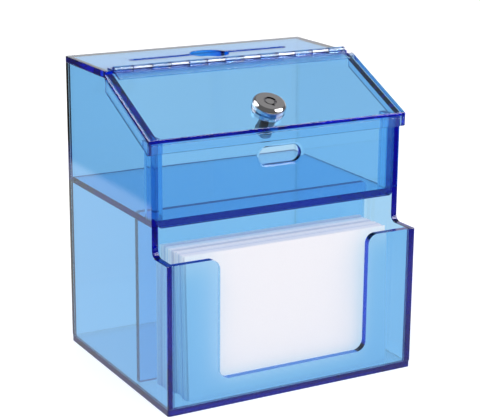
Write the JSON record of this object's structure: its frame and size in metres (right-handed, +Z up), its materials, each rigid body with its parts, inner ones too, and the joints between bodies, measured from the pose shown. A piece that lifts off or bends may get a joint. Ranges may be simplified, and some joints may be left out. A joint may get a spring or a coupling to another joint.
{
  "type": "ballot box",
  "caption": "Desk ballot box of tinted clear acrylic: a slotted, lockable box under a sloping lid on a knuckled hinge, above an open card pocket with a wide U cut-out.",
  "frame": {"origin": "middle of the base on the surface it stands on", "axes": "+X to the box's right seen from the front, +Y from the card pocket to the back panel, +Z up"},
  "size_m": [0.1756, 0.144, 0.1942],
  "materials": {
    "tinted_acrylic": "polished clear blue cast sheet",
    "hinge_plastic": "moulded clear blue, glossy",
    "lock_chrome": "polished plating",
    "zinc_steel": "satin plated",
    "card_stock": "uncoated, smooth"
  },
  "bodies": {
    "box": {"base_panel": "tinted_acrylic", "left_side_panel": "tinted_acrylic", "right_side_panel": "tinted_acrylic", "back_panel": "tinted_acrylic", "top_panel": "tinted_acrylic", "shelf": "tinted_acrylic", "front_wall": "tinted_acrylic", "left_corner_strip": "tinted_acrylic", "right_corner_strip": "tinted_acrylic", "pocket_front": "tinted_acrylic", "pocket_divider": "tinted_acrylic", "hinge_top_leaf": "hinge_plastic", "hinge_pin": "hinge_plastic", "card_pack_1": "card_stock", "card_pack_2": "card_stock", "card_pack_3": "card_stock", "card_pack_4": "card_stock", "card_pack_5": "card_stock"},
    "lid": {"lid_panel": "tinted_acrylic", "lid_front_lip": "tinted_acrylic", "lid_left_flange": "tinted_acrylic", "lid_right_flange": "tinted_acrylic", "hinge_lid_leaf": "hinge_plastic", "lock_housing": "lock_chrome", "lock_ring": "zinc_steel", "lock_washer": "lock_chrome", "lock_nut": "lock_chrome"},
    "lock_core": {"lock_plug": "lock_chrome", "lock_cam": "zinc_steel", "cam_screw": "zinc_steel"},
    "front_card": {"front_card": "card_stock"}
  },
  "joints": [
    {"name": "lid_hinge", "type": "hinge", "parent": "box", "child": "lid", "pos_m": [0, 0.0078, 0.1919], "axis": [-1, 0, 0], "range_deg": [0, 195]},
    {"name": "lock_turn", "type": "hinge", "parent": "lid", "child": "lock_core", "pos_m": [0, -0.03679, 0.17022], "axis": [0, 0.4208, -0.9071], "range_deg": [-45, 135]},
    {"name": "front_card_lift", "type": "slide", "parent": "box", "child": "front_card", "axis": [0, 0.0436, 0.999], "range_m": [0, 0.09]}
  ]
}
